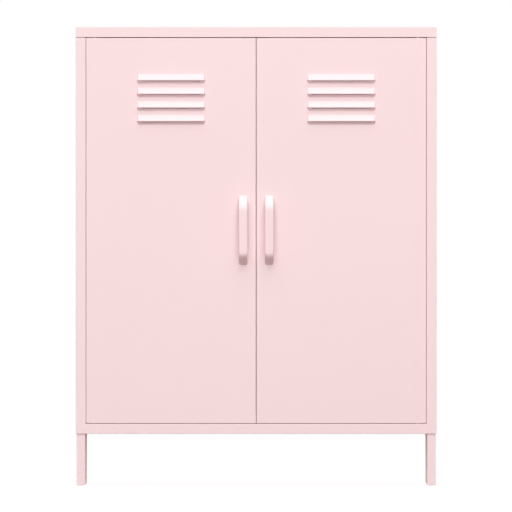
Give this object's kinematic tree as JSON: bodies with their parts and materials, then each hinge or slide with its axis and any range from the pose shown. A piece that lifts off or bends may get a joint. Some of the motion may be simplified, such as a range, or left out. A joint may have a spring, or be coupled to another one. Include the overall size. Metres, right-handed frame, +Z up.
{
  "type": "locker cabinet",
  "caption": "Free-standing steel locker cabinet with a pair of hinged louvred doors with bow handles, fixed shelves inside and folded legs.",
  "frame": {"origin": "on the floor, at the middle of the cabinet's footprint with its handles", "axes": "+Z up; the doors face -Y and the back faces +Y; +X is to the right as seen from in front of the doors"},
  "size_m": [0.8, 0.4, 1.016],
  "materials": {
    "pink_paint": "satin pale pink powder coat on folded sheet steel",
    "door_paint": "satin pale pink powder coat on the pressed door panels",
    "handle_paint": "satin pale pink powder coat on the handles",
    "zinc_steel": "bright zinc-plated steel",
    "nylon": "natural nylon, matt",
    "catch_plastic": "off-white moulded plastic, matt",
    "magnet": "dark sintered magnet, matt",
    "rubber": "dark grey rubber, matt"
  },
  "bodies": {
    "cabinet": {"top_panel": "pink_paint", "header_channel": "pink_paint", "left_stile": "pink_paint", "right_stile": "pink_paint", "bottom_rail": "pink_paint", "left_side_panel": "pink_paint", "right_side_panel": "pink_paint", "back_panel": "pink_paint", "floor_panel": "pink_paint", "front_left_leg": "pink_paint", "front_right_leg": "pink_paint", "rear_left_leg": "pink_paint", "rear_right_leg": "pink_paint", "leg_screws": "zinc_steel", "leg_nuts": "zinc_steel", "foot_glides": "nylon", "top_screws": "zinc_steel", "back_screws": "zinc_steel", "shelf_uprights": "pink_paint", "shelf_clips": "zinc_steel", "lower_shelf": "pink_paint", "upper_shelf": "pink_paint", "hinge_bushes": "nylon", "catch_housings": "catch_plastic", "catch_magnets": "magnet", "catch_screws": "zinc_steel", "door_stop_bracket": "zinc_steel", "door_buffers": "rubber", "wall_anchor_plates": "zinc_steel"},
    "left_door": {"left_door_panel": "door_paint", "left_door_stiffener": "pink_paint", "left_handle": "handle_paint", "left_handle_screws": "zinc_steel", "left_hinge_brackets": "zinc_steel", "left_hinge_pins": "zinc_steel", "left_strike_plate": "zinc_steel"},
    "right_door": {"right_door_panel": "door_paint", "right_door_stiffener": "pink_paint", "right_handle": "handle_paint", "right_handle_screws": "zinc_steel", "right_hinge_brackets": "zinc_steel", "right_hinge_pins": "zinc_steel", "right_strike_plate": "zinc_steel"}
  },
  "joints": [
    {"name": "left_door_hinge", "type": "hinge", "parent": "cabinet", "child": "left_door", "pos_m": [-0.3585, -0.1697, 0.565], "axis": [0, 0, -1], "range_deg": [0, 110]},
    {"name": "right_door_hinge", "type": "hinge", "parent": "cabinet", "child": "right_door", "pos_m": [0.3585, -0.1697, 0.565], "axis": [0, 0, 1], "range_deg": [0, 110]}
  ]
}
